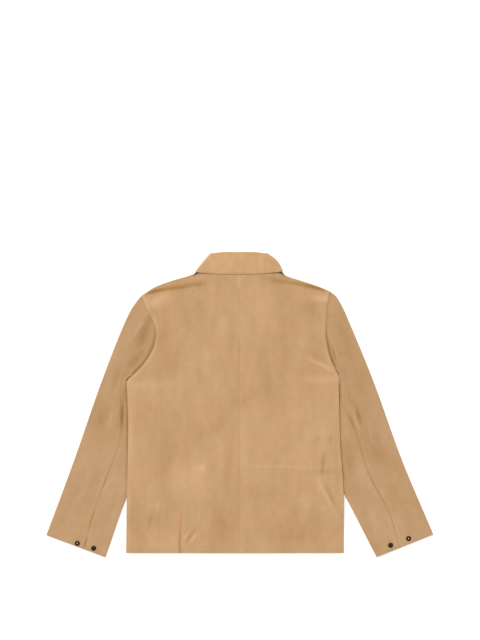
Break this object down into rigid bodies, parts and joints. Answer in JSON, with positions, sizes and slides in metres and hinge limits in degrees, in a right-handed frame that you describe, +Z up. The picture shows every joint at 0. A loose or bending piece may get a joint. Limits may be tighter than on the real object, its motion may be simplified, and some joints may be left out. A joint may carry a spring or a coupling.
{
  "type": "suede jacket laid flat",
  "caption": "Tan suede jacket with a turn-down collar, set-in two-piece sleeves and snap cuffs, laid flat with its back up.",
  "frame": {"origin": "on the resting surface, under the middle of the jacket's outline", "axes": "+X to the jacket's right sleeve (across the sleeves), +Y from the hem to the collar, +Z up, out of the back"},
  "size_m": [0.968, 0.7664, 0.0112],
  "materials": {
    "suede_body": "matt napped suede",
    "suede_sleeve": "matt napped suede",
    "suede_collar": "matt napped suede",
    "undercollar_cloth": "matt",
    "snap_metal": "dark lacquered, half gloss"
  },
  "bodies": {
    "root": {"back_left": "suede_body", "front_left": "suede_body", "sleeve_top_left": "suede_sleeve", "sleeve_under_left": "suede_sleeve", "collar_left": "suede_collar", "undercollar_left": "undercollar_cloth", "cuff_cap_left": "snap_metal", "cuff_ring_left": "snap_metal", "back_right": "suede_body", "front_right": "suede_body", "sleeve_top_right": "suede_sleeve", "sleeve_under_right": "suede_sleeve", "collar_right": "suede_collar", "undercollar_right": "undercollar_cloth", "cuff_cap_right": "snap_metal", "cuff_ring_right": "snap_metal", "front_snap_1": "snap_metal", "front_snap_2": "snap_metal", "front_snap_3": "snap_metal", "front_snap_4": "snap_metal", "front_snap_5": "snap_metal", "front_snap_6": "snap_metal"}
  },
  "joints": []
}
